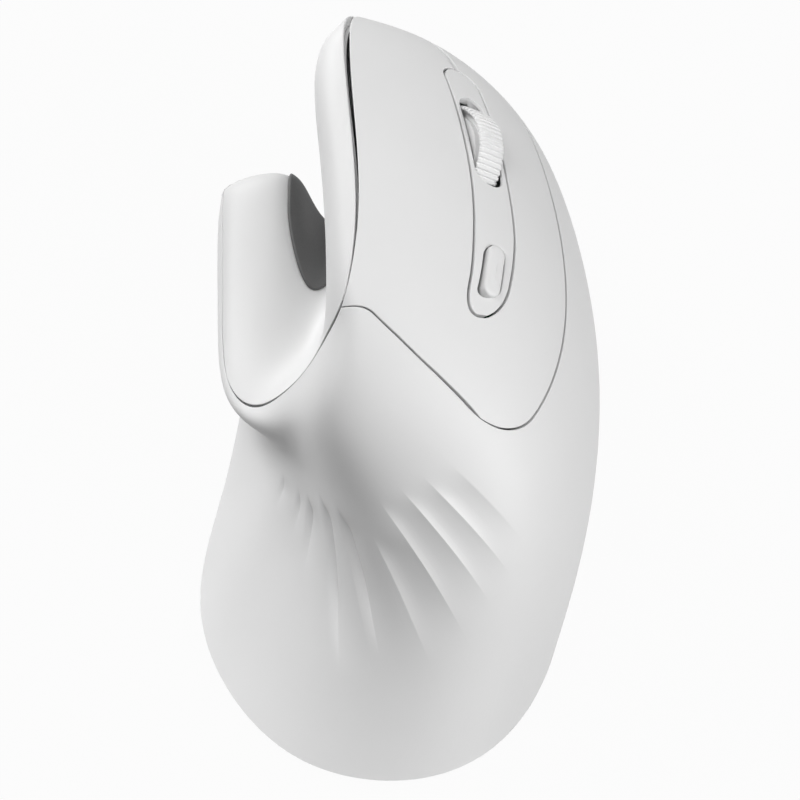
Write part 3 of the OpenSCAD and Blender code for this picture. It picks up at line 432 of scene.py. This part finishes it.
def folds(a, b):
    """Depth of the folds: a crease is a squared tent, a pleat the parabola between two crests, and both
    ease in and out along b."""
    a, b = a[..., None], b[..., None]
    at, rise, start, end = CREASES.T
    tent = np.maximum(0, 1 - np.where(a < at, (at - a) / CREASE_FALL, (a - at) / rise)) ** 2
    tent = CREASE_DEPTH * tent * ease((b - start) / FOLD_IN) * ease((end - b) / FOLD_OUT)
    left, right, start, end = PLEATS.T
    x = (a - left) / (right - left) - TROUGH
    bowl = np.maximum(0, 1 - np.where(x < 0, x / TROUGH, x / (1 - TROUGH)) ** 2)
    bowl = PLEAT_DEPTH * bowl * ease((b - start) / FOLD_IN) * ease((end - b) / FOLD_OUT)
    return np.concatenate([tent, bowl], -1).max(-1)


def fold_lines():
    """Values of a that crowd at the creases and the crests."""
    near = np.array([0.02, 0.06, 0.12, 0.2, 0.32, 0.46, 0.62, 0.8])
    at, rise = CREASES[:, :1], CREASES[:, 1:2]
    left, right = PLEATS[:, :1], PLEATS[:, 1:2]
    across = np.concatenate([0 * near[:1], near / 4, near, 1 - near / 4])
    lines = [at, at + rise * near, at - CREASE_FALL * near, left + (right - left) * across, right[-1:]]
    return np.concatenate([x.ravel() for x in lines])


def palm():
    """Palm shell: the outer skin without the button plate, folded, with rounded seam edges."""
    corner = PLATE_A + (HINGE_A - PLATE_A) * np.linspace(0, 1, 40) ** 2
    a = np.concatenate([graded(0, 0.34, 70, A_MM), fold_lines(), np.linspace(0.34, PLATE_A, 60),
                        PLATE_A - EDGE_STEPS * A_MM, corner, graded(HINGE_A, 1, 56, 0, A_MM)])
    a = np.unique(np.round(a, 6))
    seam = (plate_edge(np.maximum(a, PLATE_A)) + SEAM / 2 * B_MM)[:, None]
    upper = graded(0, 1, 40, B_MM * 2.2, B_MM * 2.2)
    lower = graded(0, 1, 58, B_MM * 2)
    b = np.concatenate([PALM_B + (seam - PALM_B) * upper, seam + (1 - seam) * lower[1:]], 1)
    raw = np.broadcast_to(a[:, None], b.shape)
    real = bent(raw, b)
    la, lb, out = on_skin(real, b)
    slant = 0.85
    under = np.maximum(b - seam, 0) * lb
    before = np.maximum(PLATE_A - raw, 0) * la * slant
    d = np.minimum.reduce([(b - PALM_B) * lb, np.hypot(under, before), raw * la, (1 - raw) * la])
    outer = skin(real, b) - (edge_drop(d) + folds(raw, b))[..., None] * out
    lean = out * np.stack([1 + 0 * b, 1 + 0 * b, 1 - b**5], -1)
    lean = np.where((b < LEAN_B)[..., None], seam_out(real), unit(lean))
    inner = skin(real, b) - WALL * lean
    keep = (raw[:-1, :-1] < PLATE_A - 1e-9) | (np.arange(b.shape[1] - 1) >= len(upper) - 1)
    put("palm_skin", *slab(outer, inner, keep), white_abs, "housing", "white_plastic", "palm_shell")


def skin_panel(name, a, low, high, v, body, node, open_edges=()):
    """A panel of the outer skin between two border lines low(a) and high(a), with rounded edges
    apart from those named open, where it runs on into its neighbour."""
    lo, hi = low(a)[:, None], high(a)[:, None]
    b = lo + (hi - lo) * v
    raw = np.broadcast_to(a[:, None], b.shape)
    real = bent(raw, b)
    la, lb, out = on_skin(real, b)
    sides = {"rear": (raw - a[0]) * la, "front": (a[-1] - raw) * la,
             "left": (b - lo) * lb, "right": (hi - b) * lb}
    d = np.minimum.reduce([x for k, x in sides.items() if k not in open_edges])
    outer = skin(real, b) - edge_drop(d)[..., None] * out
    inner = skin(real, b) - WALL * np.where((b < LEAN_B)[..., None], seam_out(real), out)
    put(name, *slab(outer, inner), white_abs, body, "white_plastic", node)


def key_share(a):
    """How far a lies from the hinge line towards the keys' tips."""
    return (a - HINGE_A) / (1 - HINGE_A)


def key_half(a):
    """Half of the gap between the keys as a share of b: the strip's outline, and in front of it a slit
    that widens towards the tips."""
    slit = SEAM * B_MM * (1 + key_share(a)) * ease((a - STRIP_TOP_A) / 0.002)
    return np.maximum(strip_half(a, STRIP_GAP), slit)


def plate():
    """Button plate: a fixed root and two keys, which run on into it where the strip's gap ends."""
    b_seam = SEAM * B_MM
    just_in = 0.0002
    split, top = STRIP_LOW_A - STRIP_GAP * A_MM + just_in, STRIP_TOP_A + STRIP_GAP * A_MM
    start = PLATE_A + 1.3 * SEAM * A_MM
    root = np.concatenate([start + EDGE_STEPS * A_MM, start + (split - start) * np.linspace(0, 1, 44) ** 2])
    skin_panel("plate_root", np.unique(np.round(root, 7)), lambda a: PALM_B + 0 * a,
               lambda a: plate_edge(a) - b_seam / 2, graded(0, 1, 90, B_MM * 2.4, B_MM * 2.4),
               "housing", "button_cover", ("front",))
    keys = np.concatenate([split + (top - split) * bunched(90), graded(top, 1, 30, 0, A_MM)[1:]])
    left_taper, right_taper = 3.5, 2.2
    skin_panel("left_key_skin", keys, lambda a: PALM_B + left_taper * b_seam * key_share(a),
               lambda a: strip_mid(a) - key_half(a), graded(0, 1, 56, B_MM * 3, B_MM * 3),
               "left_key", "left_button", ("rear",))
    skin_panel("right_key_skin", keys, lambda a: strip_mid(a) + key_half(a),
               lambda a: plate_edge(a) - b_seam * (0.5 + right_taper * key_share(a)),
               graded(0, 1, 44, B_MM * 4, B_MM * 4), "right_key", "right_button", ("rear",))


# About one millimetre on the thumb skin as a share of s and of t, and the ends of the thumb panel
S_MM = 1 / 150
T_MM = 1 / 60
THUMB_S = (0.012, 0.994)
THUMB_T = (0, 0.994)
# Window of the thumb buttons in the thumb skin, and the gaps round them
SIDE_S = (0.635, 0.667)
SIDE_T = (8 / 22, 11 / 22, 15 / 22)
SIDE_GAP_S = 0.0016
SIDE_GAP_T = 0.006
# Thumb pad on the thumb skin: its middle and half width in s, its end and its rounded length in t
PAD_S = 0.4
PAD_HALF_S = 0.13
PAD_END = 0.6246
PAD_ROUND_T = 0.245
# Part of the thumb seam that has the black bar of painted shade under its gap
SHADE_BAR_A = (0.004, 0.655)


def thumb_shell():
    """Thumb panel: the thumb skin with a window for its two buttons and rounded seam edges."""
    s = np.concatenate([graded(THUMB_S[0], SIDE_S[0], 90, S_MM, S_MM), graded(*SIDE_S, 6)[1:-1],
                        graded(SIDE_S[1], THUMB_S[1], 52, S_MM, S_MM)])
    t = np.concatenate([graded(THUMB_T[0], SIDE_T[0], 40, T_MM, T_MM),
                        graded(SIDE_T[0], SIDE_T[2], 34)[1:-1],
                        graded(SIDE_T[2], THUMB_T[1], 40, T_MM, T_MM)])
    ss, tt = np.meshgrid(s, t, indexing="ij")
    lt, ls, out = on_thumb(tt, ss)
    away = np.hypot(np.maximum(np.maximum(SIDE_S[0] - ss, ss - SIDE_S[1]), 0) * ls,
                    np.maximum(np.maximum(SIDE_T[0] - tt, tt - SIDE_T[2]), 0) * lt)
    d = np.minimum.reduce([(ss - s[0]) * ls, (s[-1] - ss) * ls, tt * lt, (t[-1] - tt) * lt, away])
    outer = thumb(tt, ss) - edge_drop(d)[..., None] * out
    wing, ridge = ss <= s[0], ss >= s[-1]
    border = np.where(wing, WING_END * tt,
                      np.where(ridge, 1 - (1 - RIDGE_END) * tt, WING_END + SADDLE * ss))
    on_border = wing | ridge | (tt >= t[-1])
    inner = thumb(tt, ss) - WALL * np.where(on_border[..., None], seam_out(border), out)
    mid_s, mid_t = (s[1:] + s[:-1])[:, None] / 2, (t[1:] + t[:-1])[None] / 2
    window = (mid_s > SIDE_S[0]) & (mid_s < SIDE_S[1]) & (mid_t > SIDE_T[0]) & (mid_t < SIDE_T[2])
    put("thumb_skin", *slab(outer, inner, ~window), white_abs, "housing", "white_plastic", "thumb_panel")


def seam_shade_bar():
    """Painted shade in the thumb seam: a thin black round bar carried along the seam, just below the skin,
    with flat ends, that darkens the seam's gap."""
    a = np.linspace(*SHADE_BAR_A, 400)
    turn = np.linspace(0, 2 * math.pi, 10, endpoint=False)
    out = seam_out(a)
    side = unit(np.cross(np.gradient(thumb_seam(a), axis=0), out))
    middle = thumb_seam(a) - SHADE_BAR_DEPTH * out
    ring = np.cos(turn)[None, :, None] * out[:, None] + np.sin(turn)[None, :, None] * side[:, None]
    points = middle[:, None] + SHADE_BAR_R * ring
    at = np.arange(points.shape[0] * turn.size).reshape(-1, turn.size)
    nxt = np.roll(at, -1, 1)
    walls = np.stack([at[:-1], at[1:], nxt[1:], nxt[:-1]], -1).reshape(-1, 4)
    k = np.arange(turn.size // 2 - 1)
    cap = np.stack([k, k + 1, turn.size - 2 - k, turn.size - 1 - k], -1)
    quads = np.concatenate([walls, at[0][cap], at[-1][cap[:, ::-1]]])
    # Black bar of painted shade: it darkens the gap of the thumb seam
    put("seam_shade_bar", points.reshape(-1, 3), quads, black_pom, "housing", "black_plastic")


def thumb_pad():
    """Dark grey patch on the thumb notch's floor: a piece of the thumb skin raised by its thickness, as wide
    as the cradle's floor and closing in an ellipse towards the palm, with well rounded edges."""
    u = graded(-1, 1, 60, 0.1, 0.1)
    t = PAD_END * np.sin(np.linspace(0.05, 1, 80) * math.pi / 2)
    uu, tt = np.meshgrid(u, t, indexing="ij")
    blunt = 0.0004
    half = PAD_HALF_S * round_end((PAD_END + blunt - tt) / PAD_ROUND_T)
    ss = PAD_S + half * uu
    lt, ls, out = on_thumb(tt, ss)
    d = np.minimum.reduce([(1 - np.abs(uu)) * half * ls, (tt - t[0]) * lt])
    outer = thumb(tt, ss) + (PAD_GLUE + PAD_T - edge_drop(d, PAD_EDGE_R))[..., None] * out
    inner = thumb(tt, ss) + PAD_GLUE * out
    put("notch_dark_patch", *slab(outer, inner), notch_patch_grey, "housing", "grip_pad", "thumb_pad")


def side_key(name, t_low, t_high, body, node):
    """Thumb button: a raised cushion of the thumb skin with well rounded edges."""
    s = graded(SIDE_S[0] + SIDE_GAP_S, SIDE_S[1] - SIDE_GAP_S, 20, S_MM, S_MM)
    t = graded(t_low, t_high, 40, T_MM, T_MM)
    ss, tt = np.meshgrid(s, t, indexing="ij")
    lt, ls, out = on_thumb(tt, ss)
    d = np.minimum.reduce([(ss - s[0]) * ls, (s[-1] - ss) * ls, (tt - t[0]) * lt, (t[-1] - tt) * lt])
    outer = thumb(tt, ss) + (SIDE_PROUD - edge_drop(d, SIDE_EDGE_R))[..., None] * out
    put(name, *slab(outer, thumb(tt, ss) - SIDE_DEPTH * out), white_abs, body, "white_plastic", node)


def front_panel(node):
    """Front panel: the solid's own triangles, merged and shaded smooth up to its edges."""
    mesh = frame["nodes"][node].data.copy()
    net = bmesh.new()
    net.from_mesh(mesh)
    bmesh.ops.remove_doubles(net, verts=net.verts, dist=1e-6)
    net.to_mesh(mesh)
    net.free()
    dress(node + "_skin", mesh, white_abs, "housing", [node], sharp=35)


def axes_at(a):
    """Frame on the strip's middle line: across, along and out, and the point itself."""
    a = np.array(a, float)
    n = on_skin(a, strip_mid(a))[2]
    step = 0.01
    d = skin(a + step, strip_mid(a + step)) - skin(a - step, strip_mid(a - step))
    along = unit(d - (d @ n) * n)
    return np.array([np.cross(along, n), along, n]), skin(a, strip_mid(a))


deck, deck_at = axes_at(WHEEL_A)
pill, pill_at = axes_at(PILL_A)


def hole_lines(middle, half_mm):
    """Values of a that crowd at the ends of a hole in the strip, and one just beyond each end."""
    across = np.concatenate([-np.cos(np.linspace(0, math.pi, 46)), [-1.04, 1.04]])
    return middle + half_mm * A_MM * across


def stadium(x, half_w, half_l):
    """Half of the width at x of a slot with round ends."""
    return half_w * round_end((half_l - np.abs(x)) / half_w)


def strip():
    """Strip: two halves either side of its middle line, which part round the wheel's slot and the
    pill's hole, with rounded edges."""
    wheel_r = WHEEL_D / 2
    slot_half = math.sqrt(wheel_r**2 - (wheel_r - WHEEL_PROUD - WALL - SLOT_DIP) ** 2) + SLOT_GAP
    pill_half = PILL_L / 2 + SLOT_GAP
    inset = 0.0008
    low, top = STRIP_LOW_A + inset, STRIP_TOP_A - inset
    a = np.concatenate([low + (top - low) * bunched(120), hole_lines(WHEEL_A, slot_half),
                        hole_lines(PILL_A, pill_half)])
    a = np.unique(np.round(np.clip(a, low, top), 7))
    hole = np.maximum(stadium((a - WHEEL_A) / A_MM, WHEEL_W / 2 + SLOT_GAP, slot_half),
                      stadium((a - PILL_A) / A_MM, PILL_W / 2 + SLOT_GAP, pill_half))[:, None]
    half = (strip_half(a) / B_MM)[:, None]
    across = hole + (half - hole) * graded(0, 1, 12, 0.12, 0.12)
    # The hole's edge is rounded only where the two halves have parted
    r = EDGE_R * np.clip(hole / 0.5, 0, 1)
    inside = np.where(r > 0, edge_drop(across - hole, np.maximum(r, 1e-6)), 0)
    drop = np.maximum(inside, edge_drop(half - across))
    lip = LIP + (WALL - LIP) * ease((across - hole) / LIP_RUN)
    depth = np.where(hole > 0, lip, WALL)
    for side, name, nodes in ((-1, "strip_left_half", ()), (1, "strip_right_half", ("wheel_strip",))):
        b = strip_mid(a)[:, None] + side * across * B_MM
        real = bent(np.broadcast_to(a[:, None], b.shape), b)
        out = on_skin(real, b)[2]
        outer = skin(real, b) - drop[..., None] * out
        inner = skin(real, b) - depth[..., None] * out
        if side < 0:
            outer, inner = outer[:, ::-1], inner[:, ::-1]
        put(name, *slab(outer, inner), white_abs, "housing", "white_plastic", *nodes)


def tyre():
    """Tyre: a crowned ring turned about the axle, with fine grooves across its tread."""
    turns, grooves = 1024, 64
    w, r, hub = WHEEL_W / 2, WHEEL_D / 2, WHEEL_D / 2 - TYRE_T
    half = np.array([[hub, w - 1.3], [r - 1.2, w - 1.2], [r - 0.85, w - 0.15], [r - 0.55, w],
                     [r - 0.25, w - 0.15], [r - 0.06, w - 0.5], [r, w - 1.0], [r, 0]])
    profile = np.concatenate([half * [1, -1], half[-2::-1]])
    angle = np.arange(turns) / turns * 2 * math.pi
    wave = 0.5 + 0.5 * np.cos(angle * grooves)
    depth = GROOVE_DEPTH * ease(wave * 2.2 - 1.1)
    tread = ease((profile[:, 0] - (r - 0.9)) / 0.7)
    radius = profile[None, :, 0] - depth[:, None] * tread[None]
    x, y = np.cos(angle)[:, None] * radius, np.sin(angle)[:, None] * radius
    z = np.broadcast_to(profile[None, :, 1], x.shape)
    centre = deck_at - (WHEEL_D / 2 - WHEEL_PROUD) * deck[2]
    points = centre + x[..., None] * deck[1] + y[..., None] * deck[2] + z[..., None] * deck[0]
    n = len(profile)
    at = np.arange(turns * n).reshape(turns, n)
    nxt = np.roll(at, -1, 0)
    ring = np.roll(at, -1, 1)
    quads = np.stack([at, nxt, np.roll(nxt, -1, 1), ring], -1).reshape(-1, 4)
    put("tyre_tread", points.reshape(-1, 3), quads, white_rubber, "wheel", "wheel_rubber",
        "wheel_tyre", sharp=70)


def pill_cap():
    """Pill button: a stadium carried down in rings, domed on top, with straight walls and a flat foot."""
    turn = np.linspace(0, 2 * math.pi, 96, endpoint=False)
    w, l = PILL_W / 2, PILL_L / 2
    ring = np.stack([np.cos(turn), np.sin(turn)], 1)
    straight = np.stack([0 * turn, np.sign(np.round(np.sin(turn), 9)) * (l - w)], 1)
    levels = np.array([[0.0, 0.95], [0.3, 0.94], [0.6, 0.9], [0.8, 0.82], [0.92, 0.68], [0.98, 0.5],
                       [1.0, 0.3], [1.0, -2.9], [1.0, -3.0]])
    share = levels[:, :1, None]
    outline = ring[None] * (w * share) + straight[None] * np.minimum(1, 0.55 + 0.45 * share)
    z = np.broadcast_to(levels[:, 1:2], outline.shape[:2])
    points = pill_at + outline[..., :1] * pill[0] + outline[..., 1:] * pill[1] + z[..., None] * pill[2]
    k, n = outline.shape[:2]
    at = np.arange(k * n).reshape(k, n)
    nxt = np.roll(at, -1, 1)
    quads = np.stack([at[:-1], at[1:], nxt[1:], nxt[:-1]], -1).reshape(-1, 4)
    top, foot = at[0], at[-1]
    i = np.arange(n // 2 - 1)
    lid = np.stack([top[i], top[i + 1], top[n - 2 - i], top[n - 1 - i]], -1)
    floor = np.stack([foot[n - 1 - i], foot[n - 2 - i], foot[i + 1], foot[i]], -1)
    put("pill_cap", points.reshape(-1, 3), np.concatenate([quads, lid, floor]), white_abs, "pill",
        "white_plastic", "pill_button", sharp=60)


palm()
plate()
front_panel("nose_panel")
front_panel("wing_cap")
thumb_shell()
seam_shade_bar()
thumb_pad()
side_key("forward_key_cap", SIDE_T[0] + SIDE_GAP_T, SIDE_T[1] - SIDE_GAP_T / 2,
         "forward_key", "forward_button")
side_key("back_key_cap", SIDE_T[1] + SIDE_GAP_T / 2, SIDE_T[2] - SIDE_GAP_T,
         "back_key", "back_button")
strip()
tyre()
pill_cap()

# The other solids keep their shape and take the finish of their material slot
finish = {"white_plastic": white_abs, "grey_plastic": grey_abs, "black_plastic": black_pom,
          "wheel_rubber": white_rubber, "grip_pad": notch_patch_grey, "glide_pad": ptfe_pad,
          "circuit_board": green_board, "steel": plain_steel, "cell_can": foil_wrap,
          "clear_lens": clear_lens}
for part in frame["record"]["subparts"]:
    solid = frame["nodes"][part["node"]]
    solid.data.materials.clear()
    solid.data.materials.append(finish[part["material_slot"]])


# Stage in metres: side and distance of the soft boxes, the height they face, half of the floor's side
LAMP_SIDE = 0.5
LAMP_AWAY = 1.2
LAMP_AIM = 0.03
FLOOR_HALF = 3


def lamp(name, bearing, height, power):
    """Square soft box at a bearing clockwise from the nose and a height, both in degrees."""
    round_z, up = math.radians(bearing), math.radians(height)
    away = Vector((math.sin(round_z) * math.cos(up), math.cos(round_z) * math.cos(up), math.sin(up)))
    light = bpy.data.lights.new(name, "AREA")
    light.shape = "SQUARE"
    light.size = LAMP_SIDE
    light.energy = power
    box = bpy.data.objects.new(name, light)
    bpy.context.collection.objects.link(box)
    box.location = LAMP_AWAY * away
    box.rotation_euler = (box.location - Vector((0, 0, LAMP_AIM))).to_track_quat("Z", "Y").to_euler()


def white_to_camera(tree, lit, white, share):
    """Mixes a share of a white shader into a lit one, for what the camera, gloss and glass see."""
    path = add(tree, "ShaderNodeLightPath")
    seen = path.outputs["Is Camera Ray"]
    for ray in ("Is Glossy Ray", "Is Transmission Ray"):
        both = add(tree, "ShaderNodeMath", {0: seen, 1: path.outputs[ray]}, operation="MAXIMUM")
        seen = both.outputs[0]
    part = add(tree, "ShaderNodeMath", {0: seen, 1: share}, operation="MULTIPLY")
    mixed = add(tree, "ShaderNodeMixShader",
                {0: part.outputs[0], 1: lit.outputs[0], 2: white.outputs[0]})
    return mixed.outputs[0]


WHITE = (1, 1, 1, 1)

# World: white to look at, but it gives no light
world = bpy.data.worlds.new("studio")
bpy.context.scene.world = world
world.use_nodes = True
sky = world.node_tree
sky.nodes.clear()
unlit = add(sky, "ShaderNodeBackground", {"Color": WHITE, "Strength": 0.0})
white = add(sky, "ShaderNodeBackground", {"Color": WHITE, "Strength": 1.0})
add(sky, "ShaderNodeOutputWorld", {"Surface": white_to_camera(sky, unlit, white, 1.0)})

# Floor: nearly white to look at with a trace of shadow, and a grey that throws light back
paper = bpy.data.materials.new("white_paper_floor")
paper.use_nodes = True
sheet = paper.node_tree
sheet.nodes.clear()
matte = add(sheet, "ShaderNodeBsdfDiffuse", {"Color": linear("#909090")})
white = add(sheet, "ShaderNodeEmission", {"Color": WHITE, "Strength": 1.0})
add(sheet, "ShaderNodeOutputMaterial", {"Surface": white_to_camera(sheet, matte, white, 0.96)})
floor_mesh = bpy.data.meshes.new("floor")
corners = [(x * FLOOR_HALF, y * FLOOR_HALF, 0) for x, y in ((-1, -1), (1, -1), (1, 1), (-1, 1))]
floor_mesh.from_pydata(corners, [], [(0, 1, 2, 3)])
floor_mesh.materials.append(paper)
floor = bpy.data.objects.new("floor", floor_mesh)
bpy.context.collection.objects.link(floor)

lamp("right_high_box", 90, 68, 1.9)
lamp("left_high_box", 270, 68, 5.7)
lamp("right_rear_box", 135, 45, 3.8)
lamp("left_front_box", 315, 45, 1.6)
lamp("low_right_box", 120, 18, 7.1)
lamp("low_left_box", 300, 18, 4.1)
lamp("low_front_box", 330, 18, 4.7)

# Camera at the photograph's angle: straight behind the heel and well above it, at a distance in metres
CAMERA_AWAY = 0.65
target = np.array([0, -MID_Y, 30.0]) * MM
tilt = math.radians(57)
lens = bpy.data.cameras.new("camera")
lens.sensor_width = 36
lens.lens = 165.4
lens.shift_y = 0.01
camera = bpy.data.objects.new("camera", lens)
bpy.context.collection.objects.link(camera)
camera.location = target + CAMERA_AWAY * np.array([0, -math.cos(tilt), math.sin(tilt)])
camera.rotation_euler = (math.pi / 2 - tilt, 0, 0)
bpy.context.scene.camera = camera
bpy.context.scene.view_settings.view_transform = "Standard"
